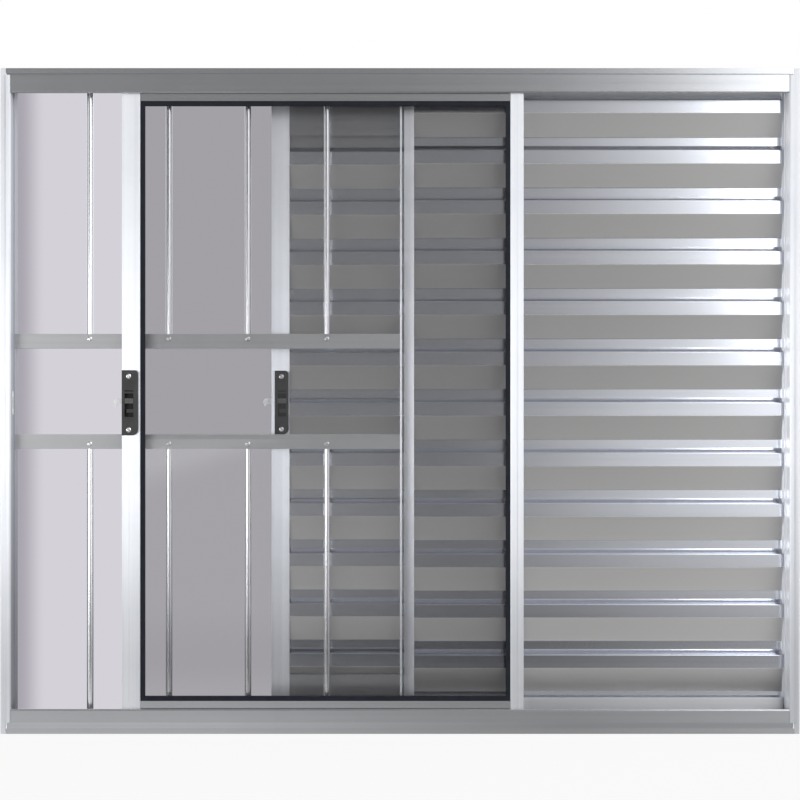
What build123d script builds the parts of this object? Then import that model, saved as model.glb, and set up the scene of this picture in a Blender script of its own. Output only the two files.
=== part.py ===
from build123d import *
import os

os.makedirs("parts", exist_ok=True)

# Louvred shutter window in bright aluminium, seen from the room. X runs to the right along the
# window, Y runs from the room to the outside, and Z runs up. Y is 0 on the wall's room face, and
# Z is 0 at the middle of the sill's flange. All sizes are in millimetres.

# Frame
window_width = 1200.0
window_height = 1000.0
flange_width = 8.0        # strip that laps over the wall's room face
frame_wall = 1.5          # wall of the frame extrusions
moulding_rise = 5.0       # how far the room side moulding stands in front of the wall's face
moulding_bend = 1.4
head_face = 10.5          # upper edge of the head's upright face, from the window's edge
sill_face = 17.0          # lower edge of the sill's upright face, above its slope
flange_groove_width = 1.2
flange_groove_depth = 0.7
jamb_corner = 3.0         # rounding of a jamb's front corner
rail_moulding = 37.5      # head and sill, from the window's edge to the moulding's inner edge
jamb_moulding = 15.5      # jambs, from the window's edge to their inner side
channel_fin = 24.0        # fins of the head and the sill, from the window's edge
jamb_fin = 1.5            # low rib on a jamb's inner side

# Lanes, one behind the other, between the fins of the frame
glass_lane_depth = 27.0
grille_lane_depth = 15.0
shutter_lane_depth = 24.0

# Roller tracks on the sill
track_width = 3.0
track_height = 5.0

# Leaves
leaf_width = 604.0
leaf_wall = 1.4
leaf_lift = 20.0          # lower end of a sliding leaf, above the window's lower edge
leaf_head_room = 16.0     # upper end of a sliding leaf, below the window's upper edge
fixed_leaf_gap = 1.5      # between the fixed leaf's upper end and the head
glass_leaf_depth = 22.0
glass_leaf_setback = 2.5
shutter_leaf_depth = 20.0
shutter_leaf_setback = 2.0
glass_leaf_open = 166.4   # from the left jamb's side to the glass leaf
shutter_leaf_open = 388.0

# Glass leaf
glass_stile_width = 27.5
glass_meeting_stile_width = 19.9
glass_rail_face = 49.0    # rails' inner edges, from the window's upper and lower edges
stile_recess_depth = 0.6  # shallow recess along a stile's room side
glass_stile_recess = (10.5, 23.0)
meeting_stile_recess = (8.6, 9.8)
bead_round = 1.0          # edge beside the glazing groove
glazing_groove_depth = 7.5
glazing_groove_width = 12.0
glass_thickness = 4.0
glass_edge_cover = 4.0    # glass inside the groove
gasket_show = 6.7         # gasket that shows between the leaf and the glass
gasket_fit = 0.1

# Louvre slats
slat_usual_pitch = 76.8
slat_wall = 1.1
slat_bend = 1.6
slat_ledge_drop = 7.3
slat_ledge_depth = 14.4
slat_face_height = 20.5
slat_slope_height = 36.0
slat_slope_depth = 10.5
slat_step_fall = 0.5
slat_lap = 4.0            # drip edge, below the ledge of the next slat
slat_lap_gap = 0.6        # drip edge, behind the ledge of the next slat
slat_end_fit = 0.3
slat_first_crest = 41.4   # upper slat's front crest, from the window's upper edge
slat_foot = 40.3          # last slat's drip edge, from the window's lower edge

# Shutter leaves
shutter_stile_width = 27.4
shutter_stile_tube = 17.0
fixed_stile_width = 14.9
fixed_stile_tube = 8.8
fixed_stile_offset = 6.4  # from the window's middle
stile_groove_width = 3.0
stile_groove_depth = 0.7
side_plate_wall = 2.8
side_plate_setback = 6.0
fixed_top_rail = 18.0
fixed_bottom_rail = 49.3  # upper edge, from the window's lower edge
shutter_bottom_rail = 62.0
shutter_top_rail = 78.0

# Grille
grille_rail_height = 22.0
grille_rail_depth = 14.0
grille_rail_wall = 1.3
grille_upper_rail_height = 590.5   # middle of the rail, from the window's lower edge
grille_lower_rail_height = 438.5
grille_bar_radius = 5.0
grille_bar_pitch = 119.7
grille_bar_first = 110.6  # from the centre upright to the nearest bar
grille_bar_seat = 10.0    # bar inside a rail
grille_bar_fit = 0.2
upright_width = 3.0
upright_depth = 14.0
jamb_screw_drop = 6.3     # screw on the right jamb, below the locks' middle
grille_screw_shift = 3.5  # from a rail's middle towards its bars

# Locks. Heights on a lock are measured down from its top, and widths from its left side
lock_height = 98.0
lock_thickness = 4.0
lock_middle_height = 497.3
glass_lock_width = 24.6
shutter_lock_width = 21.0
shutter_lock_inset = 5.0
lock_upper_corner = 5.5
lock_lower_corner = 9.5
lock_edge_slope = 0.8
lock_recess_side = (4.3, 17.6)
lock_recess = (34.9, 70.3)
lock_recess_floor = 0.6   # plastic left below a recess
lock_housing_wall = 0.6
lock_housing_fit = 0.3
glass_lock_housing = 7.0  # how far the lock reaches into its upright
shutter_lock_housing = 0.0
lock_slot = (30.1, 32.2)
lock_slot_depth = 2.5
lock_panels = ((17.0, 27.0), (72.5, 77.0))
lock_panel_depth = 0.4
lock_block = (58.5, 63.9)
lock_block_side = 7.2
lock_block_drop = 0.6
lock_screws = (9.1, 89.7)
lock_screw_side = 10.4
slider = (42.4, 49.9)
slider_fit = 0.3
slider_rise = 0.5
slider_grip = 0.8
hook_top = 6.5            # above the lock's middle
hook_arm = 8.3
hook_drop = 4.7
hook_reach = 13.5
hook_nose = 3.0
hook_barb = 6.0
hook_root = 6.0
hook_thickness = 2.5
hook_round = 1.0
hook_fit = 0.3
keeper_height = 34.0
keeper_width = 12.0
keeper_thickness = 1.0
keeper_slot = (4.5, 17.0)
screw_head_radius = 3.8
screw_head_rise = 1.0
screw_head_taper = 25.0

# Rollers
roller_radius = 9.0
roller_width = 7.0
roller_groove = 2.0
roller_fit = 0.3
roller_inset = 90.0       # from a leaf's side to its roller
axle_radius = 2.0

# Places worked out from the sizes above
half_width = window_width / 2
bottom_edge = -flange_width / 2
top_edge = bottom_edge + window_height
jamb_side = half_width - jamb_moulding
web_side = half_width - flange_width - frame_wall
sill_floor = bottom_edge + flange_width + frame_wall
head_ceiling = top_edge - flange_width - frame_wall

glass_lane = 0.0
front_fin = glass_lane + glass_lane_depth
grille_lane = front_fin + frame_wall
grille_fin = grille_lane + grille_lane_depth
fixed_lane = grille_fin + frame_wall
shutter_fin = fixed_lane + shutter_lane_depth
sliding_lane = shutter_fin + frame_wall
rear_lip = sliding_lane + shutter_lane_depth
frame_depth = rear_lip + frame_wall
jamb_box_depth = shutter_fin + frame_wall

glass_leaf_front = glass_lane + glass_leaf_setback
fixed_leaf_front = fixed_lane + shutter_leaf_setback
sliding_leaf_front = sliding_lane + shutter_leaf_setback
sliding_leaf_bottom = bottom_edge + leaf_lift
sliding_leaf_top = top_edge - leaf_head_room
fixed_leaf_bottom = sill_floor
fixed_leaf_top = head_ceiling - fixed_leaf_gap
glass_track = glass_leaf_front + glass_leaf_depth / 2
shutter_track = sliding_leaf_front + shutter_leaf_depth / 2
lock_middle = bottom_edge + lock_middle_height
first_crest = top_edge - slat_first_crest
first_drip = first_crest + slat_ledge_drop - slat_lap
slat_span = first_drip - bottom_edge - slat_foot
slat_rows = round(slat_span / slat_usual_pitch)
slat_pitch = slat_span / slat_rows
slat_floor = first_drip - slat_rows * slat_pitch - slat_end_fit
slat_rear = leaf_wall + slat_end_fit + 1.5 * slat_wall + slat_ledge_depth + slat_lap_gap


def finish(part, label):
    """Names a finished piece and writes it as its own file."""
    part.label = label
    export_step(part, f"parts/{label}.step")


def strip(a_from, a_to, b_from, b_to, mode=Mode.ADD):
    """Draws one straight wall of a section between two values on each of the sketch's axes."""
    with Locations(((a_from + a_to) / 2, (b_from + b_to) / 2)):
        Rectangle(abs(a_to - a_from), abs(b_to - b_from), mode=mode)


def flange_section(edge, inward):
    """Flat strip of the head or the sill that laps over the wall."""
    strip(-frame_wall, 0, edge, edge + inward * flange_width)


def channel_section(edge, inward, face_start, tracks):
    """Section of the head or the sill without its flange: web, fins, moulding and roller tracks. The
    moulding rises from the web by a slope that ends where its upright face starts."""
    web_outer = edge + inward * flange_width
    web_inner = web_outer + inward * frame_wall
    strip(-frame_wall, frame_depth, web_outer, web_inner)
    for fin in (front_fin, grille_fin, shutter_fin, rear_lip):
        strip(fin, fin + frame_wall, web_outer, edge + inward * channel_fin)
    for track in tracks:
        strip(track - track_width / 2, track + track_width / 2, web_outer, web_inner + inward * track_height)
    face = -moulding_rise + frame_wall / 2
    slope_start = edge + inward * (flange_width + frame_wall / 2)
    slope_end = edge + inward * face_start
    lip = edge + inward * (rail_moulding - frame_wall / 2)
    with BuildLine() as moulding:
        FilletPolyline((-frame_wall / 2, slope_start), (face, slope_end), (face, lip), (0, lip),
                       radius=moulding_bend)
    trace(moulding.line, line_width=frame_wall)


def build_channel(edge, inward, face_start, tracks):
    """Makes the head or the sill, notched at its ends round the jambs."""
    flange_half = half_width - flange_width
    with BuildPart() as channel:
        with BuildSketch(Plane.YZ.offset(-flange_half)):
            flange_section(edge, inward)
        extrude(amount=2 * flange_half)
        with BuildSketch(Plane.YZ.offset(-web_side)):
            channel_section(edge, inward, face_start, tracks)
        extrude(amount=2 * web_side)
        for side in (-1, 1):
            with BuildSketch(Plane.YZ.offset(side * jamb_side)):
                strip(-moulding_rise, jamb_box_depth, edge + inward * face_start,
                      edge + inward * (rail_moulding + frame_wall))
            extrude(amount=side * (half_width - jamb_side), mode=Mode.SUBTRACT)
            with BuildSketch(Plane.YZ.offset(side * (jamb_side - jamb_fin))):
                strip(front_fin, front_fin + frame_wall, edge + inward * face_start,
                      edge + inward * channel_fin)
            extrude(amount=side * jamb_fin, mode=Mode.SUBTRACT)
    return channel.part


finish(build_channel(bottom_edge, 1, sill_face, (glass_track, shutter_track)), "sill")
finish(build_channel(top_edge, -1, head_face, ()), "head")


def build_jamb(side):
    """Makes a jamb: a hollow box beside the front lanes and a plain web beside the rear lane."""
    edge = side * half_width
    inward = -side
    box_outer = edge + inward * flange_width
    box_inner = edge + inward * jamb_moulding
    web_inner = box_outer + inward * frame_wall
    with BuildPart() as jamb:
        with BuildSketch(Plane.XY.offset(bottom_edge)):
            strip(edge, box_outer, -frame_wall, 0)
            strip(box_outer, box_outer - inward * flange_groove_width, -frame_wall,
                  flange_groove_depth - frame_wall, mode=Mode.SUBTRACT)
        extrude(amount=window_height)
        with BuildSketch(Plane.XY.offset(bottom_edge + flange_width)):
            strip(box_outer, web_inner, jamb_box_depth, frame_depth)
        extrude(amount=window_height - 2 * flange_width)
        with BuildSketch(Plane.XY.offset(bottom_edge + sill_face)) as box:
            strip(box_outer, box_inner, -moulding_rise, jamb_box_depth)
            fillet(box.vertices().sort_by_distance((box_inner, -moulding_rise))[0], radius=jamb_corner)
            strip(web_inner, box_inner - inward * frame_wall, -moulding_rise + frame_wall,
                  jamb_box_depth - frame_wall, mode=Mode.SUBTRACT)
            strip(box_inner, box_inner + inward * jamb_fin, front_fin, front_fin + frame_wall)
        extrude(amount=window_height - sill_face - head_face)
    return jamb.part


finish(build_jamb(-1), "left_jamb")
finish(build_jamb(1), "right_jamb")


def build_slats(x_left, x_right, leaf_front, first_row):
    """Makes the rows of louvre slats of one leaf. Each slat is one bent section: a ledge that falls
    towards the room, an upright face, a slope that runs back and down, a step, and a drip edge that
    hangs behind the ledge of the next slat. The line drawn is the room side of the section."""
    face = leaf_front + leaf_wall + slat_end_fit
    back = face + slat_ledge_depth + slat_wall / 2 + slat_lap_gap
    with BuildPart() as slats:
        for row in range(first_row, slat_rows):
            crest = first_crest - row * slat_pitch
            ledge_back = crest + slat_ledge_drop
            slope_start = crest - slat_face_height
            slope_end = slope_start - slat_slope_height
            drip = ledge_back - slat_pitch - slat_lap
            with BuildSketch(Plane.YZ.offset(x_left)):
                with BuildLine():
                    FilletPolyline((face + slat_ledge_depth, ledge_back), (face, crest), (face, slope_start),
                                   (face + slat_slope_depth, slope_end), radius=slat_bend)
                    Polyline((face + slat_slope_depth, slope_end), (back, slope_end - slat_step_fall),
                             (back, drip))
                    offset(amount=slat_wall, kind=Kind.INTERSECTION, side=Side.LEFT)
                make_face()
            extrude(amount=x_right - x_left)
    return slats.part


def stile_section(edge, inward, width, tube, front, depth):
    """Section of an upright leaf member: a tube with an open channel towards the leaf's middle."""
    strip(edge, edge + inward * width, front, front + depth)
    strip(edge + inward * leaf_wall, edge + inward * (tube - leaf_wall), front + leaf_wall,
          front + depth - leaf_wall, mode=Mode.SUBTRACT)
    strip(edge + inward * tube, edge + inward * width, front + leaf_wall, front + depth - leaf_wall,
          mode=Mode.SUBTRACT)


def lock_strip(across, down, mode=Mode.ADD):
    """Draws a rectangle on a lock's face between two widths and two heights."""
    strip(across[0], across[1], lock_height / 2 - down[0], lock_height / 2 - down[1], mode=mode)


def housing_outline(spare):
    """Draws the outline of a lock's housing, larger than the housing by the given spare width."""
    edge = lock_housing_wall + spare
    lock_strip((lock_recess_side[0] - edge, lock_recess_side[1] + edge),
               (lock_recess[0] - edge, lock_recess[1] + edge))


def hook_slot(side_x, middle_y):
    """Cuts the slot for a lock's hook through the outer wall of a left upright."""
    with BuildSketch(Plane.YZ.offset(side_x)) as slot:
        with Locations((middle_y, lock_middle + hook_top - hook_arm / 2)):
            Rectangle(hook_thickness + 2 * hook_fit, hook_arm + 2 * hook_fit)
    extrude(slot.sketch, amount=leaf_wall, mode=Mode.SUBTRACT)


def build_shutter_stile(edge, inward):
    """Makes an upright member of the sliding shutter leaf."""
    with BuildPart() as stile:
        with BuildSketch(Plane.XY.offset(sliding_leaf_bottom)):
            stile_section(edge, inward, shutter_stile_width, shutter_stile_tube, sliding_leaf_front,
                          shutter_leaf_depth)
        extrude(amount=sliding_leaf_top - sliding_leaf_bottom)
        if inward > 0:
            hook_slot(edge, shutter_track)
    return stile.part


def build_top_rail(x_left, x_right, front, top, height, row):
    """Makes a top member of a shutter leaf: a tube with a drip edge behind the given row's ledge."""
    with BuildPart() as rail:
        with BuildSketch(Plane.YZ.offset(x_left)):
            strip(front, front + shutter_leaf_depth, top, top - height)
            strip(front + leaf_wall, front + shutter_leaf_depth - leaf_wall, top - leaf_wall,
                  top - height + leaf_wall, mode=Mode.SUBTRACT)
            drip_front = front + slat_rear - slat_wall
            strip(drip_front, drip_front + slat_wall, top - height, first_drip - row * slat_pitch)
        extrude(amount=x_right - x_left)
    return rail.part


def build_bottom_rail(x_left, x_right, front, bottom, top):
    """Makes a bottom member of a shutter leaf: an upper pocket for the last slat, a web below it and
    two legs."""
    with BuildPart() as rail:
        with BuildSketch(Plane.YZ.offset(x_left)):
            strip(front, front + shutter_leaf_depth, bottom, top)
            strip(front + leaf_wall, front + shutter_leaf_depth - leaf_wall, slat_floor, top,
                  mode=Mode.SUBTRACT)
            strip(front + leaf_wall, front + shutter_leaf_depth - leaf_wall, bottom,
                  slat_floor - leaf_wall, mode=Mode.SUBTRACT)
        extrude(amount=x_right - x_left)
    return rail.part


# Fixed shutter leaf, in the right half
fixed_left = fixed_stile_offset
fixed_slat_left = fixed_left + fixed_stile_tube + slat_end_fit
fixed_slat_right = jamb_side - side_plate_wall
fixed_rail_left = fixed_left + fixed_stile_width
fixed_rail_top = bottom_edge + fixed_bottom_rail

with BuildPart() as fixed_left_stile:
    with BuildSketch(Plane.XY.offset(fixed_leaf_bottom)):
        stile_section(fixed_left, 1, fixed_stile_width, fixed_stile_tube, fixed_leaf_front, shutter_leaf_depth)
        groove_middle = fixed_left + fixed_stile_tube
        strip(groove_middle - stile_groove_width / 2, groove_middle + stile_groove_width / 2,
              fixed_leaf_front, fixed_leaf_front + stile_groove_depth, mode=Mode.SUBTRACT)
    extrude(amount=fixed_leaf_top - fixed_leaf_bottom)
finish(fixed_left_stile.part, "fixed_leaf_left_stile")

with BuildPart() as fixed_side_plate:
    with BuildSketch(Plane.XY.offset(fixed_leaf_bottom)):
        strip(fixed_slat_right, jamb_side, fixed_leaf_front + side_plate_setback,
              fixed_leaf_front + shutter_leaf_depth)
    extrude(amount=fixed_leaf_top - fixed_leaf_bottom)
finish(fixed_side_plate.part, "fixed_leaf_side_plate")

finish(build_top_rail(fixed_rail_left, fixed_slat_right, fixed_leaf_front, fixed_leaf_top,
                      fixed_top_rail, 0), "fixed_leaf_top_rail")
finish(build_bottom_rail(fixed_rail_left, fixed_slat_right, fixed_leaf_front, fixed_leaf_bottom,
                         fixed_rail_top), "fixed_leaf_bottom_rail")
finish(build_slats(fixed_slat_left, fixed_slat_right, fixed_leaf_front, 0), "fixed_leaf_slats")

# Sliding shutter leaf, in the rear lane
shutter_left = -jamb_side + shutter_leaf_open
shutter_right = shutter_left + leaf_width
shutter_rail_left = shutter_left + shutter_stile_width
shutter_rail_right = shutter_right - shutter_stile_width
shutter_rail_top = sliding_leaf_bottom + shutter_bottom_rail

finish(build_shutter_stile(shutter_left, 1), "shutter_leaf_left_stile")
finish(build_shutter_stile(shutter_right, -1), "shutter_leaf_right_stile")
finish(build_top_rail(shutter_rail_left, shutter_rail_right, sliding_leaf_front, sliding_leaf_top,
                      shutter_top_rail, 1), "shutter_leaf_top_rail")
finish(build_bottom_rail(shutter_rail_left, shutter_rail_right, sliding_leaf_front, sliding_leaf_bottom,
                         shutter_rail_top), "shutter_leaf_bottom_rail")
finish(build_slats(shutter_left + shutter_stile_tube + slat_end_fit,
                   shutter_right - shutter_stile_tube - slat_end_fit, sliding_leaf_front, 1),
       "shutter_leaf_slats")

# Glass leaf, in the front lane
glass_left = -jamb_side + glass_leaf_open
glass_right = glass_left + leaf_width
glass_rail_left = glass_left + glass_stile_width
glass_rail_right = glass_right - glass_meeting_stile_width
glass_rail_top = top_edge - glass_rail_face
glass_rail_bottom = bottom_edge + glass_rail_face
glazing_front = glass_leaf_front + leaf_wall
glazing_back = glazing_front + glazing_groove_width


def glazing_stile_section(edge, inward, width, recess):
    """Section of an upright of the glass leaf: a tube with a shallow recess along its room side, and
    a groove for the glass and its gasket."""
    tube = width - glazing_groove_depth
    front = glass_leaf_front
    back = front + glass_leaf_depth
    strip(edge, edge + inward * width, front, glazing_back + leaf_wall)
    strip(edge, edge + inward * tube, front, back)
    strip(edge + inward * leaf_wall, edge + inward * (tube - leaf_wall), front + leaf_wall,
          back - leaf_wall, mode=Mode.SUBTRACT)
    strip(edge + inward * tube, edge + inward * width, glazing_front, glazing_back, mode=Mode.SUBTRACT)
    strip(edge + inward * recess[0], edge + inward * recess[1], front, front + stile_recess_depth,
          mode=Mode.SUBTRACT)


def glazing_rail_section(outer, inner, inward, open_outward):
    """Section of a cross member of the glass leaf, open outwards for rollers or closed."""
    groove_floor = inner - inward * glazing_groove_depth
    front = glass_leaf_front
    back = front + glass_leaf_depth
    strip(front, glazing_back + leaf_wall, outer, inner)
    strip(front, back, outer, groove_floor)
    strip(glazing_front, glazing_back, groove_floor, inner, mode=Mode.SUBTRACT)
    hollow_end = outer if open_outward else outer + inward * leaf_wall
    strip(front + leaf_wall, back - leaf_wall, groove_floor - inward * leaf_wall, hollow_end,
          mode=Mode.SUBTRACT)


def build_glass_stile(edge, inward, width, recess):
    """Makes an upright of the glass leaf."""
    with BuildPart() as stile:
        with BuildSketch(Plane.XY.offset(sliding_leaf_bottom)) as section:
            glazing_stile_section(edge, inward, width, recess)
            bead = section.vertices().sort_by_distance((edge + inward * width, glass_leaf_front))[0]
            fillet(bead, radius=bead_round)
        extrude(amount=sliding_leaf_top - sliding_leaf_bottom)
        if inward > 0:
            hook_slot(edge, glass_track)
            lock_face = Plane(origin=(edge, glass_leaf_front, lock_middle), x_dir=(1, 0, 0), z_dir=(0, -1, 0))
            with BuildSketch(lock_face) as opening:
                housing_outline(lock_housing_fit)
            extrude(opening.sketch, amount=-leaf_wall, mode=Mode.SUBTRACT)
    return stile.part


def build_glass_rail(outer, inner, inward, open_outward):
    """Makes a cross member of the glass leaf."""
    with BuildPart() as rail:
        with BuildSketch(Plane.YZ.offset(glass_rail_left)):
            glazing_rail_section(outer, inner, inward, open_outward)
        extrude(amount=glass_rail_right - glass_rail_left)
    return rail.part


finish(build_glass_stile(glass_left, 1, glass_stile_width, glass_stile_recess), "glass_leaf_left_stile")
finish(build_glass_stile(glass_right, -1, glass_meeting_stile_width, meeting_stile_recess),
       "glass_leaf_meeting_stile")
finish(build_glass_rail(sliding_leaf_top, glass_rail_top, -1, False), "glass_leaf_top_rail")
finish(build_glass_rail(sliding_leaf_bottom, glass_rail_bottom, 1, True), "glass_leaf_bottom_rail")

pane_front = (glazing_front + glazing_back - glass_thickness) / 2
pane_back = pane_front + glass_thickness
with BuildPart() as glass_pane:
    with BuildSketch(Plane.XZ.offset(-pane_front)):
        strip(glass_rail_left - glass_edge_cover, glass_rail_right + glass_edge_cover,
              glass_rail_bottom - glass_edge_cover, glass_rail_top + glass_edge_cover)
    extrude(amount=-glass_thickness)
finish(glass_pane.part, "glass_pane")


def gasket_section(inner_edge, inward):
    """U-shaped gasket round the glass edge, from inside the groove to its showing edge."""
    groove_side = inner_edge - inward * (glazing_groove_depth - gasket_fit)
    show_side = inner_edge + inward * gasket_show
    pane_edge = inner_edge - inward * glass_edge_cover
    strip(groove_side, show_side, glazing_front + gasket_fit, glazing_back - gasket_fit)
    strip(pane_edge, show_side, pane_front, pane_back, mode=Mode.SUBTRACT)


with BuildPart() as side_gaskets:
    with BuildSketch(Plane.XY.offset(glass_rail_bottom + gasket_show)):
        gasket_section(glass_rail_left, 1)
    extrude(amount=glass_rail_top - glass_rail_bottom - 2 * gasket_show)
    with BuildSketch(Plane.XY.offset(glass_rail_bottom + gasket_show)):
        gasket_section(glass_rail_right, -1)
    extrude(amount=glass_rail_top - glass_rail_bottom - 2 * gasket_show)
finish(side_gaskets.part, "glass_side_gaskets")

with BuildPart() as cross_gaskets:
    for inner_edge, inward in ((glass_rail_bottom, 1), (glass_rail_top, -1)):
        with BuildSketch(Plane(origin=(glass_rail_left, 0, 0), x_dir=(0, 1, 0), z_dir=(1, 0, 0))):
            with Locations(((glazing_front + glazing_back) / 2,
                            inner_edge + inward * (gasket_show - glazing_groove_depth + gasket_fit) / 2)):
                Rectangle(glazing_groove_width - 2 * gasket_fit,
                          gasket_show + glazing_groove_depth - gasket_fit)
            strip(pane_front, pane_back, inner_edge - inward * glass_edge_cover,
                  inner_edge + inward * gasket_show, mode=Mode.SUBTRACT)
        extrude(amount=glass_rail_right - glass_rail_left)
finish(cross_gaskets.part, "glass_cross_gaskets")

# Grille, fixed in its own lane in the left half
grille_front = grille_lane + (grille_lane_depth - grille_rail_depth) / 2
grille_middle = grille_front + grille_rail_depth / 2
upper_rail_middle = bottom_edge + grille_upper_rail_height
lower_rail_middle = bottom_edge + grille_lower_rail_height
bar_places = []
bar_x = -grille_bar_first
while bar_x > -jamb_side + grille_bar_radius:
    bar_places.append(bar_x)
    bar_x -= grille_bar_pitch


def build_grille_rail(middle, bars_up):
    """Makes a flat hollow rail with a bore for each bar in the wall that faces the bars."""
    seat = middle + bars_up * grille_rail_height / 2
    with BuildPart() as rail:
        with BuildSketch(Plane.YZ.offset(-jamb_side)):
            with Locations((grille_middle, middle)):
                Rectangle(grille_rail_depth, grille_rail_height)
                Rectangle(grille_rail_depth - 2 * grille_rail_wall, grille_rail_height - 2 * grille_rail_wall,
                          mode=Mode.SUBTRACT)
        extrude(amount=jamb_side)
        with BuildSketch(Plane.XY.offset(seat)):
            for place in bar_places:
                with Locations((place, grille_middle)):
                    Circle(grille_bar_radius + grille_bar_fit)
        extrude(amount=-bars_up * 2 * grille_rail_wall, mode=Mode.SUBTRACT)
    return rail.part


def build_bars(bottom, top):
    """Makes one row of upright round bars."""
    with BuildPart() as bars:
        with BuildSketch(Plane.XY.offset(bottom)):
            for place in bar_places:
                with Locations((place, grille_middle)):
                    Circle(grille_bar_radius)
        extrude(amount=top - bottom)
    return bars.part


finish(build_grille_rail(upper_rail_middle, 1), "grille_upper_rail")
finish(build_grille_rail(lower_rail_middle, -1), "grille_lower_rail")
finish(build_bars(upper_rail_middle + grille_rail_height / 2 - grille_bar_seat, head_ceiling),
       "grille_upper_bars")
finish(build_bars(sill_floor, lower_rail_middle - grille_rail_height / 2 + grille_bar_seat),
       "grille_lower_bars")

with BuildPart() as centre_upright:
    with BuildSketch(Plane.XY.offset(sill_floor)):
        strip(0, upright_width, grille_middle - upright_depth / 2, grille_middle + upright_depth / 2)
    extrude(amount=head_ceiling - sill_floor)
finish(centre_upright.part, "centre_upright")


def screw_head(x, y, z, direction):
    """Makes a domed screw head whose flat side lies at the given point."""
    with BuildSketch(Plane(origin=(x, y, z), z_dir=direction)) as outline:
        Circle(screw_head_radius)
    extrude(outline.sketch, amount=screw_head_rise, taper=screw_head_taper)


with BuildPart() as grille_screws:
    for screw_height in (upper_rail_middle + grille_screw_shift, lower_rail_middle - grille_screw_shift):
        for place in bar_places:
            screw_head(place, grille_front, screw_height, (0, -1, 0))
finish(grille_screws.part, "grille_screws")

with BuildPart() as jamb_screw:
    screw_head(jamb_side, grille_middle, lock_middle - jamb_screw_drop, (-1, 0, 0))
finish(jamb_screw.part, "jamb_screw")

# Locks, one on each sliding leaf


def build_lock(prefix, left, front, width, housing, leaf_left, track):
    """Makes the parts of a slide lock on the face of a leaf's left upright: a plate with a finger
    recess and its housing, the slider in it, two screws, and the hook out of the upright's side."""
    recess_depth = lock_thickness + housing - lock_recess_floor
    face = Plane(origin=(left, front, lock_middle), x_dir=(1, 0, 0), z_dir=(0, -1, 0))
    outer = face.offset(lock_thickness)
    with BuildPart() as body:
        with BuildSketch(face) as outline:
            lock_strip((0, width), (0, lock_height))
            fillet(outline.vertices().sort_by_distance((width, -lock_height / 2))[0],
                   radius=lock_lower_corner)
            fillet(outline.vertices().sort_by_distance((width, lock_height / 2))[0],
                   radius=lock_upper_corner)
        extrude(amount=lock_thickness)
        chamfer(body.faces().sort_by(Axis.Y)[0].edges(), length=lock_edge_slope)
        if housing > 0:
            with BuildSketch(face):
                housing_outline(0)
            extrude(amount=-housing)
        with BuildSketch(outer):
            lock_strip(lock_recess_side, lock_recess)
            lock_strip((lock_block_side, lock_recess_side[1]), lock_block, mode=Mode.SUBTRACT)
        extrude(amount=-recess_depth, mode=Mode.SUBTRACT)
        with BuildSketch(outer):
            lock_strip((lock_block_side, lock_recess_side[1]), lock_block)
        extrude(amount=-lock_block_drop, mode=Mode.SUBTRACT)
        with BuildSketch(outer):
            lock_strip(lock_recess_side, lock_slot)
        extrude(amount=-lock_slot_depth, mode=Mode.SUBTRACT)
        with BuildSketch(outer):
            for panel in lock_panels:
                lock_strip(lock_recess_side, panel)
        extrude(amount=-lock_panel_depth, mode=Mode.SUBTRACT)
    finish(body.part, f"{prefix}_lock_body")

    with BuildPart() as knob:
        with BuildSketch(outer.offset(-recess_depth)):
            lock_strip((lock_recess_side[0] + slider_fit, lock_recess_side[1] - slider_fit), slider)
        extrude(amount=recess_depth + slider_rise)
        with BuildSketch(outer.offset(slider_rise)):
            for share in (1 / 3, 2 / 3):
                grip = slider[0] + share * (slider[1] - slider[0])
                lock_strip(lock_recess_side, (grip - slider_grip / 2, grip + slider_grip / 2))
        extrude(amount=-slider_rise, mode=Mode.SUBTRACT)
    finish(knob.part, f"{prefix}_lock_slider")

    top = lock_middle + hook_top
    tip = leaf_left - hook_reach
    with BuildPart() as hook:
        with BuildSketch(Plane.XZ.offset(hook_thickness / 2 - track)) as shape:
            with BuildLine():
                Polyline((leaf_left + hook_root, top), (tip + hook_nose, top), (tip, top - hook_arm / 2),
                         (tip + hook_round, top - hook_arm),
                         (tip + hook_nose, top - hook_arm - hook_drop),
                         (tip + hook_barb, top - hook_arm),
                         (leaf_left + hook_root, top - hook_arm), close=True)
            make_face()
            fillet(shape.vertices().sort_by(Axis.X)[:5], radius=hook_round)
        extrude(amount=-hook_thickness)
    finish(hook.part, f"{prefix}_lock_hook")

    with BuildPart() as screws:
        for down in lock_screws:
            screw_head(left + lock_screw_side, front - lock_thickness, lock_middle + lock_height / 2 - down,
                       (0, -1, 0))
    finish(screws.part, f"{prefix}_lock_screws")


build_lock("glass", glass_left, glass_leaf_front, glass_lock_width, glass_lock_housing, glass_left,
           glass_track)
build_lock("shutter", shutter_left + shutter_lock_inset, sliding_leaf_front, shutter_lock_width,
           shutter_lock_housing, shutter_left, shutter_track)


def build_keeper(side_x, middle_y):
    """Makes the slotted plate on the left jamb that takes a lock's hook."""
    with BuildPart() as keeper:
        with BuildSketch(Plane.YZ.offset(side_x)):
            with Locations((middle_y, lock_middle)):
                Rectangle(keeper_width, keeper_height)
                Rectangle(*keeper_slot, mode=Mode.SUBTRACT)
        extrude(amount=keeper_thickness)
    return keeper.part


finish(build_keeper(-jamb_side, glass_track), "glass_keeper")
finish(build_keeper(-web_side, shutter_track), "shutter_keeper")


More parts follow.
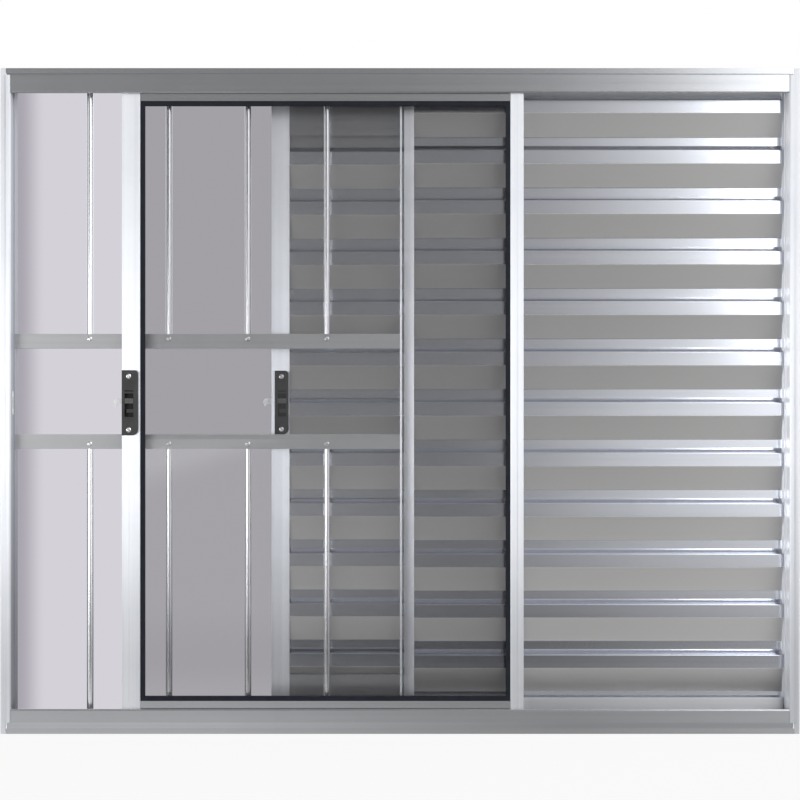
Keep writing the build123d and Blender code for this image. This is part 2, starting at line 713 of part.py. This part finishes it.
def build_rollers(left, right, track, leaf_front, leaf_depth):
    """Makes the two grooved rollers of a leaf, each on its axle between the rail's walls."""
    track_top = sill_floor + track_height
    centre = track_top + roller_radius - roller_groove + roller_fit
    groove_half = track_width / 2 + roller_fit
    inner_half = leaf_depth / 2 - leaf_wall
    with BuildPart() as rollers:
        for place in (left + roller_inset, right - roller_inset):
            with BuildSketch(Plane.YZ.offset(place)):
                with BuildLine():
                    Polyline((track - inner_half, centre), (track - inner_half, centre + axle_radius),
                             (track - roller_width / 2, centre + axle_radius),
                             (track - roller_width / 2, centre + roller_radius),
                             (track - groove_half, centre + roller_radius - roller_groove),
                             (track + groove_half, centre + roller_radius - roller_groove),
                             (track + roller_width / 2, centre + roller_radius),
                             (track + roller_width / 2, centre + axle_radius),
                             (track + inner_half, centre + axle_radius), (track + inner_half, centre),
                             close=True)
                make_face()
            revolve(axis=Axis((place, track, centre), (0, 1, 0)))
    return rollers.part


finish(build_rollers(glass_left, glass_right, glass_track, glass_leaf_front, glass_leaf_depth),
       "glass_leaf_rollers")
finish(build_rollers(shutter_left, shutter_right, shutter_track, sliding_leaf_front, shutter_leaf_depth),
       "shutter_leaf_rollers")
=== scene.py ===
import math
import bpy
import numpy as np
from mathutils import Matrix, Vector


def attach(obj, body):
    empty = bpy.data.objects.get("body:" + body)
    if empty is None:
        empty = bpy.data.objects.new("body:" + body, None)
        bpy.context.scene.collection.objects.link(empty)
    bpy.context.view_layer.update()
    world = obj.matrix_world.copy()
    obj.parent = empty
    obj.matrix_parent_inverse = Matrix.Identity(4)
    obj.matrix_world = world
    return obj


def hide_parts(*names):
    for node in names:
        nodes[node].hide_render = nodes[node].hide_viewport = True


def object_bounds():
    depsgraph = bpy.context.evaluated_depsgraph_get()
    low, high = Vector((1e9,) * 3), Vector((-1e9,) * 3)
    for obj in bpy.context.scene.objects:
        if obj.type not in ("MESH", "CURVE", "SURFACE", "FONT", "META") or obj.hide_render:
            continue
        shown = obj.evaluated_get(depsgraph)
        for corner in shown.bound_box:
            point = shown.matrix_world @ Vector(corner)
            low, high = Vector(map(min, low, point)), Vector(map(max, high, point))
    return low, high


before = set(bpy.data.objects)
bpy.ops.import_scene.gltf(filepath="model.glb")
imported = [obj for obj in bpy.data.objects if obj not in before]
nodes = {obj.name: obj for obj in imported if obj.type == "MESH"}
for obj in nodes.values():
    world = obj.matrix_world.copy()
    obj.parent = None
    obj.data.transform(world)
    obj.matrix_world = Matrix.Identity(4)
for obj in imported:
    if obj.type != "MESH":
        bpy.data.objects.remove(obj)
cadLow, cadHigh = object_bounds()
print("loaded", len(nodes), "nodes of the window")


# Helpers for node trees and new pieces

def newGroup(name, inputs, outputs):
    group = bpy.data.node_groups.new(name, "ShaderNodeTree")
    for label, kind, value in inputs:
        socket = group.interface.new_socket(name=label, in_out="INPUT", socket_type=kind)
        socket.default_value = value
    for label, kind in outputs:
        group.interface.new_socket(name=label, in_out="OUTPUT", socket_type=kind)
    source = group.nodes.new("NodeGroupInput")
    target = group.nodes.new("NodeGroupOutput")
    return group, source, target


def mathNode(tree, operation, first, second=0.0):
    # one Math node, whose inputs are sockets or plain numbers
    node = tree.nodes.new("ShaderNodeMath")
    node.operation = operation
    for slot, value in zip(node.inputs, (first, second)):
        if isinstance(value, (int, float)):
            slot.default_value = value
        else:
            tree.links.new(value, slot)
    return node.outputs[0]


def blendNumbers(tree, factor, first, second):
    # first where the factor is 0 and second where it is 1
    return mathNode(tree, "ADD", mathNode(tree, "MULTIPLY", factor, second),
                    mathNode(tree, "MULTIPLY", mathNode(tree, "SUBTRACT", 1.0, factor), first))


def noiseNode(tree, vector, scale, detail, roughness=0.5):
    node = tree.nodes.new("ShaderNodeTexNoise")
    node.inputs["Scale"].default_value = scale
    node.inputs["Detail"].default_value = detail
    node.inputs["Roughness"].default_value = roughness
    tree.links.new(vector, node.inputs["Vector"])
    return node.outputs["Fac"]


def rampNode(tree, value, low, high, outLow=0.0, outHigh=1.0):
    # a smooth step from outLow to outHigh between low and high
    node = tree.nodes.new("ShaderNodeMapRange")
    node.interpolation_type = "SMOOTHSTEP"
    tree.links.new(value, node.inputs["Value"])
    limits = {"From Min": low, "From Max": high, "To Min": outLow, "To Max": outHigh}
    for label, number in limits.items():
        node.inputs[label].default_value = number
    return node.outputs["Result"]


def objectPlace(tree):
    # X, Y and Z of a point in its piece's own coordinates
    place = tree.nodes.new("ShaderNodeSeparateXYZ")
    tree.links.new(tree.nodes.new("ShaderNodeTexCoord").outputs["Object"], place.inputs[0])
    return place.outputs


def mixColors(tree, factor, first, second):
    # blends two colours, each a socket or three numbers
    mix = tree.nodes.new("ShaderNodeMix")
    mix.data_type = "RGBA"
    tree.links.new(factor, mix.inputs[0])
    for socket, value in ((mix.inputs[6], first), (mix.inputs[7], second)):
        if isinstance(value, tuple):
            socket.default_value = (*value, 1.0)
        else:
            tree.links.new(value, socket)
    return mix.outputs[2]


def mixShaders(tree, factor, first, second):
    # blends two shaders and makes them the material's surface
    mix = tree.nodes.new("ShaderNodeMixShader")
    for socket, value in zip(mix.inputs, (factor, first.outputs[0], second.outputs[0])):
        tree.links.new(value, socket)
    tree.links.new(mix.outputs[0], tree.nodes["Material Output"].inputs["Surface"])


def addBump(tree, shader, height, strength, depth):
    bump = tree.nodes.new("ShaderNodeBump")
    bump.inputs["Strength"].default_value = strength
    bump.inputs["Distance"].default_value = depth
    tree.links.new(height, bump.inputs["Height"])
    tree.links.new(bump.outputs["Normal"], shader.inputs["Normal"])


def addGroup(tree, group, **values):
    node = tree.nodes.new("ShaderNodeGroup")
    node.node_tree = group
    for label, value in values.items():
        node.inputs[label].default_value = value
    return node


def newMaterial(name, settings):
    material = bpy.data.materials.new(name)
    material.use_nodes = True
    tree = material.node_tree
    shader = tree.nodes["Principled BSDF"]
    shader.inputs["Base Color"].default_value = (*settings["color"], 1.0)
    shader.inputs["Metallic"].default_value = settings.get("metallic", 0.0)
    shader.inputs["Roughness"].default_value = settings["roughness"]
    shader.inputs["IOR"].default_value = settings.get("ior", 1.5)
    return material, tree, shader


def addToScene(name, data):
    piece = bpy.data.objects.new(name, data)
    bpy.context.scene.collection.objects.link(piece)
    return piece


# Surface marks that several finishes share. Each noise is (scale, detail) or (scale, detail, roughness)

dieMarks = {"lines": (1400.0, 2.0), "bands": (160.0, 3.0), "bloom": (9.0, 4.0, 0.6)}
mouldMarks = {"size": 2500.0, "detail": 3.0, "patches": (60.0, 3.0)}


def buildExtrusionLines():
    # Lines left by the die, stretched along the member by the Stretch vector, with cloudy bloom
    group, source, target = newGroup(
        "extrusionLines",
        [("Stretch", "NodeSocketVector", (1.0, 1.0, 1.0))],
        [("Lines", "NodeSocketFloat"), ("Bands", "NodeSocketFloat"), ("Bloom", "NodeSocketFloat")])
    place = group.nodes.new("ShaderNodeTexCoord").outputs["Object"]
    stretched = group.nodes.new("ShaderNodeVectorMath")
    stretched.operation = "MULTIPLY"
    group.links.new(place, stretched.inputs[0])
    group.links.new(source.outputs["Stretch"], stretched.inputs[1])
    along = stretched.outputs[0]
    group.links.new(noiseNode(group, along, *dieMarks["lines"]), target.inputs["Lines"])
    group.links.new(noiseNode(group, along, *dieMarks["bands"]), target.inputs["Bands"])
    group.links.new(noiseNode(group, place, *dieMarks["bloom"]), target.inputs["Bloom"])
    return group


def buildGrain():
    # Fine spark-eroded grain of a moulded plastic face
    group, source, target = newGroup(
        "mouldedGrain", [("Size", "NodeSocketFloat", mouldMarks["size"])],
        [("Height", "NodeSocketFloat"), ("Patches", "NodeSocketFloat")])
    place = group.nodes.new("ShaderNodeTexCoord").outputs["Object"]
    grain = group.nodes.new("ShaderNodeTexNoise")
    grain.inputs["Detail"].default_value = mouldMarks["detail"]
    group.links.new(place, grain.inputs["Vector"])
    group.links.new(source.outputs["Size"], grain.inputs["Scale"])
    group.links.new(grain.outputs["Fac"], target.inputs["Height"])
    group.links.new(noiseNode(group, place, *mouldMarks["patches"]), target.inputs["Patches"])
    return group


extrusionLines = buildExtrusionLines()
mouldedGrain = buildGrain()


# Aluminium

def buildSlatMasks(tree, settings):
    # Masks of each slat's slope and ledge. Height below a crest is the row's fraction times the pitch
    rows = mathNode(tree, "SUBTRACT", settings["firstCrest"], objectPlace(tree)["Z"])
    fraction = mathNode(tree, "FRACT", mathNode(tree, "DIVIDE", rows, settings["pitch"]))
    below = mathNode(tree, "MULTIPLY", fraction, settings["pitch"])
    soft = settings["edge"]
    upper = rampNode(tree, below, settings["slopeTop"] - soft, settings["slopeTop"] + soft)
    lower = rampNode(tree, below, settings["slopeFoot"] - soft, settings["slopeFoot"] + soft, 1.0, 0.0)
    ledge = rampNode(tree, below, settings["ledgeFoot"] - soft, settings["ledgeFoot"] + soft)
    return mathNode(tree, "MULTIPLY", upper, lower), ledge


def buildAluminium(name, settings):
    # The tangent runs round the member's long axis, so its highlight spreads across the die lines
    material, tree, shader = newMaterial(name, settings)
    drawn = settings["drawnOut"]
    stretch = {"X": (drawn, 1.0, 1.0), "Z": (1.0, 1.0, drawn)}[settings["along"]]
    lines = addGroup(tree, extrusionLines, Stretch=stretch).outputs
    shader.inputs["Anisotropic"].default_value = settings["spread"]
    tangent = tree.nodes.new("ShaderNodeTangent")
    tangent.direction_type = "RADIAL"
    tangent.axis = settings["along"]
    tree.links.new(tangent.outputs[0], shader.inputs["Tangent"])
    worn = mathNode(tree, "ADD", mathNode(tree, "MULTIPLY", lines["Bands"], settings["bandShare"]),
                    mathNode(tree, "MULTIPLY", lines["Bloom"], settings["bloomShare"]))
    color = mixColors(tree, rampNode(tree, worn, *settings["wornFromTo"]), settings["darkColor"],
                      settings["color"])
    swing = settings["roughnessSwing"]
    roughness = mathNode(tree, "ADD", settings["roughness"] - swing / 2,
                         mathNode(tree, "MULTIPLY", lines["Lines"], swing))
    if "mattAndPaintedReflection" in settings:
        mattAndPaintedReflection, ledge = buildSlatMasks(tree, settings["mattAndPaintedReflection"])
        # Painted reflection: each slat's slope takes a warmer, darker colour for the floor it faces, and
        # is also rougher
        color = mixColors(tree, mattAndPaintedReflection, color, settings["mattAndPaintedReflection"]["color"])
        # Painted highlight: each slat's ledge is paler
        color = mixColors(tree, ledge, color, settings["mattAndPaintedReflection"]["ledgeHighlightColor"])
        roughness = mathNode(tree, "ADD", roughness,
                             mathNode(tree, "MULTIPLY", mattAndPaintedReflection, settings["mattAndPaintedReflection"]["rougher"]))
    # Painted shade: deeper than the front face in Y the colour turns darker, on the frame's inner side
    if "paintedShadeFromTo" in settings:
        paintedShade = rampNode(tree, objectPlace(tree)["Y"], *settings["paintedShadeFromTo"])
        color = mixColors(tree, paintedShade, color, settings["paintedShadeColor"])
    tree.links.new(color, shader.inputs["Base Color"])
    tree.links.new(roughness, shader.inputs["Roughness"])
    addBump(tree, shader, lines["Lines"], settings["lineStrength"], settings["lineDepth"])
    return material


# The rails are painted a darker grey than the stiles' metal, as painted shade on the horizontal members
railFinish = {
    "color": (0.57, 0.58, 0.60), "darkColor": (0.53, 0.54, 0.56), "metallic": 1.0,
    "roughness": 0.21, "roughnessSwing": 0.08, "spread": 0.65, "along": "X", "drawnOut": 0.004,
    "bandShare": 0.6, "bloomShare": 0.4, "wornFromTo": (0.3, 0.7),
    "lineStrength": 0.10, "lineDepth": 0.00002,
}
stileFinish = dict(
    railFinish, along="Z", color=(0.90, 0.915, 0.945), darkColor=(0.79, 0.81, 0.85),
    roughness=0.46, spread=0.92)
# the left jamb, with painted shade on its inner side
shadedFinish = dict(stileFinish, paintedShadeFromTo=(0.0, 0.002), paintedShadeColor=(0.46, 0.47, 0.52))
leafRailFinish = dict(
    railFinish, color=(0.88, 0.885, 0.91), darkColor=(0.82, 0.825, 0.85), roughness=0.34)
barFinish = dict(
    stileFinish, color=(0.88, 0.89, 0.91), darkColor=(0.84, 0.85, 0.87), roughness=0.16, spread=0.0)
# The grille rails are painted a darker grey than the bars' metal, as painted shade
grilleFinish = dict(
    railFinish, color=(0.64, 0.645, 0.655), darkColor=(0.59, 0.595, 0.605), roughness=0.42,
    spread=0.40)
slatFinish = dict(
    railFinish, color=(0.78, 0.80, 0.86), darkColor=(0.73, 0.755, 0.81), roughness=0.13,
    roughnessSwing=0.04, spread=0.40, lineStrength=0.06,
    # the slope's warmer, darker colour is a painted reflection of the floor; the added roughness is the
    # slope's own
    mattAndPaintedReflection={"color": (0.755, 0.745, 0.738), "rougher": 0.25, "firstCrest": 0.9546, "pitch": 0.07677,
          "slopeTop": 0.0203, "slopeFoot": 0.0566, "edge": 0.0004,
          # the paler ledge colour is a painted highlight
          "ledgeHighlightColor": (0.93, 0.94, 0.98), "ledgeFoot": 0.0695})
railAluminium = buildAluminium("railAluminium", railFinish)
stileAluminium = buildAluminium("stileAluminium", stileFinish)
shadedAluminium = buildAluminium("shadedAluminium", shadedFinish)
leafRailAluminium = buildAluminium("leafRailAluminium", leafRailFinish)
barAluminium = buildAluminium("barAluminium", barFinish)
grilleAluminium = buildAluminium("grilleAluminium", grilleFinish)
slatAluminium = buildAluminium("slatAluminium", slatFinish)


# Plastic, rubber, steel and glass

def nearestFace(node):
    # Y of the side of a node that faces the room
    return min(corner.co.y for corner in nodes[node].data.vertices)


def buildPlastic(name, settings):
    # Moulded plastic. Where the settings name a face, what lies behind it in Y is darker, as painted
    # shade in the recesses
    material, tree, shader = newMaterial(name, settings)
    grain = addGroup(tree, mouldedGrain, Size=settings["grainSize"]).outputs
    color = mixColors(tree, rampNode(tree, grain["Patches"], *plasticShare["patchesFromTo"]),
                      settings["color"], settings["paleColor"])
    if "face" in settings:
        start, end = (settings["face"] + depth for depth in settings["recessFromTo"])
        behind = rampNode(tree, objectPlace(tree)["Y"], start, end)
        color = mixColors(tree, behind, color, settings["recessShadeColor"])
    tree.links.new(color, shader.inputs["Base Color"])
    addBump(tree, shader, grain["Height"], settings["grainStrength"], plasticShare["grainDepth"])
    return material


plasticShare = {"patchesFromTo": (0.3, 0.7), "grainDepth": 0.00005}
lockFinish = {
    "color": (0.034, 0.034, 0.036), "paleColor": (0.046, 0.046, 0.048), "roughness": 0.42,
    "grainSize": 2200.0, "grainStrength": 0.3, "recessShadeColor": (0.002, 0.002, 0.003),
    "recessFromTo": (0.0008, 0.0026),
}
lockBlack = buildPlastic("lockBlack", dict(lockFinish, face=nearestFace("glass_lock_body")))
rearLockBlack = buildPlastic("rearLockBlack", dict(lockFinish, face=nearestFace("shutter_lock_body")))
sliderGrey = buildPlastic("sliderGrey", {
    "color": (0.10, 0.10, 0.105), "paleColor": (0.13, 0.13, 0.135), "roughness": 0.38,
    "grainSize": 2200.0, "grainStrength": 0.2})
gasketRubber = buildPlastic("gasketRubber", {
    "color": (0.006, 0.008, 0.015), "paleColor": (0.011, 0.013, 0.022), "roughness": 0.7, "ior": 1.35,
    "grainSize": 1200.0, "grainStrength": 0.2})
rollerNylon = buildPlastic("rollerNylon", {
    "color": (0.62, 0.62, 0.60), "paleColor": (0.70, 0.70, 0.68), "roughness": 0.45,
    "grainSize": 1500.0, "grainStrength": 0.1})
platedSteel = newMaterial("platedSteel", {
    "color": (0.80, 0.80, 0.81), "metallic": 1.0, "roughness": 0.22})[0]
hookSteel = newMaterial("hookSteel", {
    "color": (0.95, 0.95, 0.95), "metallic": 1.0, "roughness": 0.72})[0]


def buildGlass(settings):
    # Clear sheet glass. Light passes through it to what stands behind
    material, tree, shader = newMaterial("sheetGlass", settings)
    shader.inputs["Transmission Weight"].default_value = 1.0
    clear = tree.nodes.new("ShaderNodeBsdfTransparent")
    clear.inputs["Color"].default_value = (*settings["shadowTint"], 1.0)
    path = tree.nodes.new("ShaderNodeLightPath").outputs
    mixShaders(tree, path["Is Shadow Ray"], shader, clear)
    return material


sheetGlass = buildGlass({
    "color": (0.775, 0.77, 0.775), "roughness": 0.0, "ior": 1.5, "shadowTint": (0.86, 0.88, 0.88)})

finishOfNode = {
    railAluminium: ["sill", "head", "shutter_leaf_top_rail", "shutter_leaf_bottom_rail",
                    "glass_leaf_top_rail", "glass_leaf_bottom_rail"],
    leafRailAluminium: ["fixed_leaf_top_rail", "fixed_leaf_bottom_rail"],
    shadedAluminium: ["left_jamb"],
    grilleAluminium: ["grille_upper_rail", "grille_lower_rail"],
    barAluminium: ["grille_upper_bars", "grille_lower_bars"],
    stileAluminium: ["right_jamb", "fixed_leaf_left_stile", "fixed_leaf_side_plate",
                     "shutter_leaf_left_stile", "shutter_leaf_right_stile", "glass_leaf_left_stile",
                     "glass_leaf_meeting_stile", "centre_upright"],
    slatAluminium: ["fixed_leaf_slats", "shutter_leaf_slats"],
    sheetGlass: ["glass_pane"],
    gasketRubber: ["glass_side_gaskets", "glass_cross_gaskets"],
    lockBlack: ["glass_lock_body"],
    rearLockBlack: ["shutter_lock_body"],
    sliderGrey: ["glass_lock_slider", "shutter_lock_slider"],
    hookSteel: ["glass_lock_hook", "shutter_lock_hook"],
    platedSteel: ["glass_keeper", "shutter_keeper"],
    rollerNylon: ["glass_leaf_rollers", "shutter_leaf_rollers"],
}
for finish, names in finishOfNode.items():
    for name in names:
        nodes[name].data.materials.clear()
        nodes[name].data.materials.append(finish)
print("finishes made")


# Screws with cross recesses, in place of the plain heads

def gridFaces(rows, columns):
    # quads of a grid that closes on itself along its columns
    r, c = np.meshgrid(np.arange(rows - 1), np.arange(columns), indexing="ij")
    after = (c + 1) % columns
    return np.stack([r * columns + c, r * columns + after, (r + 1) * columns + after,
                     (r + 1) * columns + c], -1).reshape(-1, 4)


def meshFromArrays(name, points, faces, material):
    mesh = bpy.data.meshes.new(name)
    mesh.from_pydata(points.tolist(), [], faces.tolist())
    mesh.materials.append(material)
    mesh.polygons.foreach_set("use_smooth", np.ones(len(mesh.polygons), bool))
    mesh.update()
    return addToScene(name, mesh)


# lengths are in head radii, apart from headReach, which is in metres
screw = {
    "rings": 16, "spokes": 48, "fullness": 1.02, "recessWidth": 0.24, "recessReach": 0.62,
    "recessDepth": 0.45, "sideSoftness": 0.06, "endSoftness": 0.12, "headReach": 0.012,
}


def screwSurface(centre, outward, radius, rise, turn):
    # Radius runs from the rim to the middle and angle round it. Height is a dome, the square root of
    # the fullness less radius squared, cut by two crossed grooves with soft ends.
    ring = np.concatenate([[1.0], np.linspace(1.0, 0.0, screw["rings"])])[:, None]
    angle = np.linspace(0, 2 * np.pi, screw["spokes"], endpoint=False)[None, :]
    x, y = ring * np.cos(angle), ring * np.sin(angle)
    dome = np.sqrt(np.clip(screw["fullness"] - ring ** 2, 0, None)) * np.ones_like(angle)
    turned = angle - turn
    u, v = np.abs(ring * np.cos(turned)), np.abs(ring * np.sin(turned))
    narrow, wide = np.minimum(u, v), np.maximum(u, v)
    across = np.clip((screw["recessWidth"] / 2 - narrow) / screw["sideSoftness"] + 0.5, 0, 1)
    ends = np.clip((screw["recessReach"] - wide) / screw["endSoftness"], 0, 1)
    height = dome - screw["recessDepth"] * across * ends
    height[0] = 0.0
    side = np.cross(outward, (0.0, 0.0, 1.0))
    side = side / np.linalg.norm(side)
    up = np.cross(side, outward)
    points = (np.array(centre) + radius * (x[..., None] * side + y[..., None] * up)
              + rise * height[..., None] * np.array(outward))
    return points.reshape(-1, 3)


def buildScrews(name, node, outward, heads):
    # One piece for all the heads that a node holds. One face of the dome tells which way faces wind
    parts = [screwSurface(centre, outward, *shape) for centre, *shape in heads]
    headFaces = gridFaces(screw["rings"] + 1, screw["spokes"])
    a, b, c = parts[0][headFaces[screw["spokes"] * 2, :3]]
    if np.dot(np.cross(b - a, c - a), outward) < 0:
        headFaces = headFaces[:, ::-1]
    faces = np.concatenate([headFaces + index * len(parts[0]) for index in range(len(parts))])
    piece = meshFromArrays(name, np.concatenate(parts), faces, platedSteel)
    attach(piece, "root")
    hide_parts(node)


def headsOfNode(node, outward, seed):
    # Finds each head of a node from its own corners, as (centre, radius, rise, turn). Corners closer
    # than a head's reach are one head.
    points = np.array([v.co for v in nodes[node].data.vertices])
    axis = int(np.argmax(np.abs(outward)))
    across = [i for i in range(3) if i != axis]
    heads, left = [], points
    rng = np.random.default_rng(seed)
    while len(left):
        near = np.linalg.norm(left[:, across] - left[0, across], axis=1) < screw["headReach"]
        low, high = left[near].min(0), left[near].max(0)
        centre = (low + high) / 2
        centre[axis] = high[axis] if outward[axis] < 0 else low[axis]
        turn = rng.uniform(0, np.pi)
        heads.append((centre, (high - low)[across[0]] / 2, high[axis] - low[axis], turn))
        left = left[~near]
    return heads


for name, node, outward in (("grilleScrewHeads", "grille_screws", (0.0, -1.0, 0.0)),
                            ("jambScrewHead", "jamb_screw", (-1.0, 0.0, 0.0)),
                            ("glassLockScrewHeads", "glass_lock_screws", (0.0, -1.0, 0.0)),
                            ("shutterLockScrewHeads", "shutter_lock_screws", (0.0, -1.0, 0.0))):
    buildScrews(name, node, outward, headsOfNode(node, outward, len(name)))
print("screws made")


# Studio. A ramp is (from, to) or (from, to, value before, value after)

def stagePlane(name, corners, material):
    mesh = bpy.data.meshes.new(name)
    mesh.from_pydata(corners, [], [(0, 1, 2, 3)])
    mesh.materials.append(material)
    piece = addToScene(name, mesh)
    return piece


def seenThroughGlass(tree, path):
    # camera rays that have passed through glass and haven't been reflected
    bounces = mathNode(tree, "ADD", path["Glossy Depth"], path["Diffuse Depth"])
    return mathNode(tree, "MULTIPLY", path["Is Transmission Ray"],
                    mathNode(tree, "LESS_THAN", bounces, 0.5))


floorLook = {
    "color": (0.58, 0.565, 0.55), "roughness": 0.9, "halfSize": 30.0, "gap": 0.0005, "cover": 0.9,
    "middle": 0.30, "left": (-0.4, 0.3, 0.24, 0.0), "right": (0.2, 1.0, 0.0, 0.24),
    "edge": (1.2, 2.0, 0.0, 0.90), "near": (-1.1, -0.25, 0.2, 1.35), "far": (-2.6, -1.2, 0.6, 0.0),
    "behindWindow": (0.0, 0.3, 1.0, 0.3),
}


def buildFloor():
    # Pale floor, white where the camera sees it. In reflections it glows as painted light, darker in the
    # middle than at the sides
    material, tree, shader = newMaterial("paleFloor", floorLook)
    place = objectPlace(tree)
    side = mathNode(tree, "ADD", rampNode(tree, place["X"], *floorLook["right"]),
                    rampNode(tree, mathNode(tree, "ABSOLUTE", place["X"]), *floorLook["edge"]))
    middle = mathNode(tree, "ADD", floorLook["middle"], rampNode(tree, place["X"], *floorLook["left"]))
    distance = mathNode(tree, "ADD", rampNode(tree, place["Y"], *floorLook["near"]),
                        rampNode(tree, place["Y"], *floorLook["far"]))
    both = mathNode(tree, "ADD", side, mathNode(tree, "MULTIPLY", middle, distance))
    behindWindow = rampNode(tree, place["Y"], *floorLook["behindWindow"])
    path = tree.nodes.new("ShaderNodeLightPath").outputs
    seen = mathNode(tree, "MAXIMUM", path["Is Camera Ray"], seenThroughGlass(tree, path))
    reflected = mathNode(tree, "MULTIPLY", path["Is Glossy Ray"],
                         mathNode(tree, "MULTIPLY", behindWindow, both))
    glow = tree.nodes.new("ShaderNodeEmission")
    tree.links.new(mathNode(tree, "ADD", reflected, seen), glow.inputs["Strength"])
    cover = mathNode(tree, "MULTIPLY", seen, floorLook["cover"])
    mixShaders(tree, mathNode(tree, "ADD", cover, path["Is Glossy Ray"]), shader, glow)
    half, level = floorLook["halfSize"], cadLow.z - floorLook["gap"]
    stagePlane("floor", [(-half, -half, level), (half, -half, level), (half, half, level),
                         (-half, half, level)], material)


# distances are in metres from the window's left side, its edges and its back
cardLook = {
    # dark is painted shade by the left jamb, behindGlass is painted shadow behind the glass leaf
    "color": (0.658, 0.638, 0.694), "behindGlass": (0.480, 0.470, 0.500), "dark": (0.40, 0.38, 0.43),
    "roughness": 1.0, "darkFromTo": (0.014, 0.055), "glassFromTo": (0.190, 0.200), "inset": 0.009,
    "gap": 0.0005,
}


def buildBackdropCard():
    # A pale card against the back of the window, clear from behind. Painted shade darkens it towards the
    # left jamb, and painted shadow darkens it where the glass leaf stands in front
    material, tree, _ = newMaterial("backdropCard", cardLook)
    across = objectPlace(tree)["X"]
    shade, glass = (rampNode(tree, across, *(cadLow.x + at for at in cardLook[part]))
                    for part in ("darkFromTo", "glassFromTo"))
    color = mixColors(tree, glass, cardLook["color"], cardLook["behindGlass"])
    glow = tree.nodes.new("ShaderNodeEmission")
    tree.links.new(mixColors(tree, shade, cardLook["dark"], color), glow.inputs["Color"])
    clear = tree.nodes.new("ShaderNodeBsdfTransparent")
    geometry = tree.nodes.new("ShaderNodeNewGeometry").outputs
    mixShaders(tree, geometry["Backfacing"], glow, clear)
    left, right = cadLow.x + cardLook["inset"], cadHigh.x - cardLook["inset"]
    low, high = cadLow.z + cardLook["inset"], cadHigh.z - cardLook["inset"]
    depth = cadHigh.y + cardLook["gap"]
    card = stagePlane("backdropCard", [(left, depth, low), (right, depth, low), (right, depth, high),
                                       (left, depth, high)], material)
    card.visible_diffuse = False
    card.visible_glossy = False
    card.visible_shadow = False


# Brightness by direction. lift is by height, rightGlow by X, ceiling by height and sideGlow by Y
worldLook = {
    "fill": 0.60, "background": 1.0, "behindCamera": 0.31,
    "lift": (-0.06, 0.06, 0.2, 1.0), "rightGlow": (0.05, 0.12, 0.0, 0.58),
    "ceiling": (0.25, 0.6, 1.0, 0.45), "sideGlow": (-0.93, -0.45, 0.0, 1.0),
}


def buildWorld():
    # White where the background shows. Metal sees a studio that is darker behind the camera
    world = bpy.data.worlds.new("studioWorld")
    bpy.context.scene.world = world
    world.use_nodes = True
    tree = world.node_tree
    background = tree.nodes["Background"]
    separate = tree.nodes.new("ShaderNodeSeparateXYZ")
    tree.links.new(tree.nodes.new("ShaderNodeTexCoord").outputs["Generated"], separate.inputs[0])
    direction = separate.outputs
    right = mathNode(tree, "MULTIPLY", rampNode(tree, direction["Z"], *worldLook["lift"]),
                     rampNode(tree, direction["X"], *worldLook["rightGlow"]))
    sides = mathNode(tree, "MULTIPLY", rampNode(tree, direction["Z"], *worldLook["ceiling"]),
                     rampNode(tree, direction["Y"], *worldLook["sideGlow"]))
    front = mathNode(tree, "ADD", worldLook["behindCamera"], right)
    studioLight = mathNode(tree, "MAXIMUM", front, sides)
    path = tree.nodes.new("ShaderNodeLightPath").outputs
    through = seenThroughGlass(tree, path)
    reflected = mathNode(tree, "MAXIMUM", path["Is Glossy Ray"],
                         mathNode(tree, "SUBTRACT", path["Is Transmission Ray"], through))
    light = blendNumbers(tree, reflected, worldLook["fill"], studioLight)
    seen = mathNode(tree, "MAXIMUM", path["Is Camera Ray"], through)
    strength = blendNumbers(tree, seen, light, worldLook["background"])
    tree.links.new(strength, background.inputs["Strength"])
    background.inputs["Color"].default_value = (1.0, 1.0, 1.0, 1.0)


softboxAim = (0.0, 0.0, 0.5)
softboxes = {
    "rightSoftbox": {"at": (2.0, -4.2, 1.85), "size": (2.2, 2.6), "power": 28.0,
                     "color": (0.97, 0.98, 1.0)},
    "leftSoftbox": {"at": (-2.7, -3.9, 0.42), "size": (2.4, 0.8), "power": 30.0,
                    "color": (0.97, 0.98, 1.0)},
    "topSoftbox": {"at": (2.2, -1.9, 3.2), "size": (2.4, 2.2), "power": 58.0,
                   "color": (1.0, 1.0, 1.0)},
}


def buildLamps():
    # area lamps turned towards the window
    for name, settings in softboxes.items():
        lamp = bpy.data.lights.new(name, "AREA")
        lamp.shape = "RECTANGLE"
        lamp.size, lamp.size_y = settings["size"]
        lamp.energy = settings["power"]
        lamp.color = settings["color"]
        piece = addToScene(name, lamp)
        piece.location = settings["at"]
        away = np.array(settings["at"]) - softboxAim
        pan = math.atan2(away[0], -away[1])
        tilt = math.atan2(math.hypot(away[0], away[1]), away[2])
        piece.rotation_euler = (tilt, 0.0, pan)


cameraLook = {"distance": 4.0, "height": 0.4975, "viewHalfWidth": 0.601, "sensorWidth": 36.0}


def buildCamera():
    camera = bpy.data.cameras.new("camera")
    camera.sensor_width = cameraLook["sensorWidth"]
    camera.lens = cameraLook["sensorWidth"] / 2 * cameraLook["distance"] / cameraLook["viewHalfWidth"]
    piece = addToScene("camera", camera)
    piece.location = (0.0, -cameraLook["distance"], cameraLook["height"])
    piece.rotation_euler = (math.pi / 2, 0.0, 0.0)
    bpy.context.scene.camera = piece


buildFloor()
buildBackdropCard()
buildWorld()
buildLamps()
buildCamera()
bpy.context.scene.view_settings.view_transform = "Standard"
print("studio made")
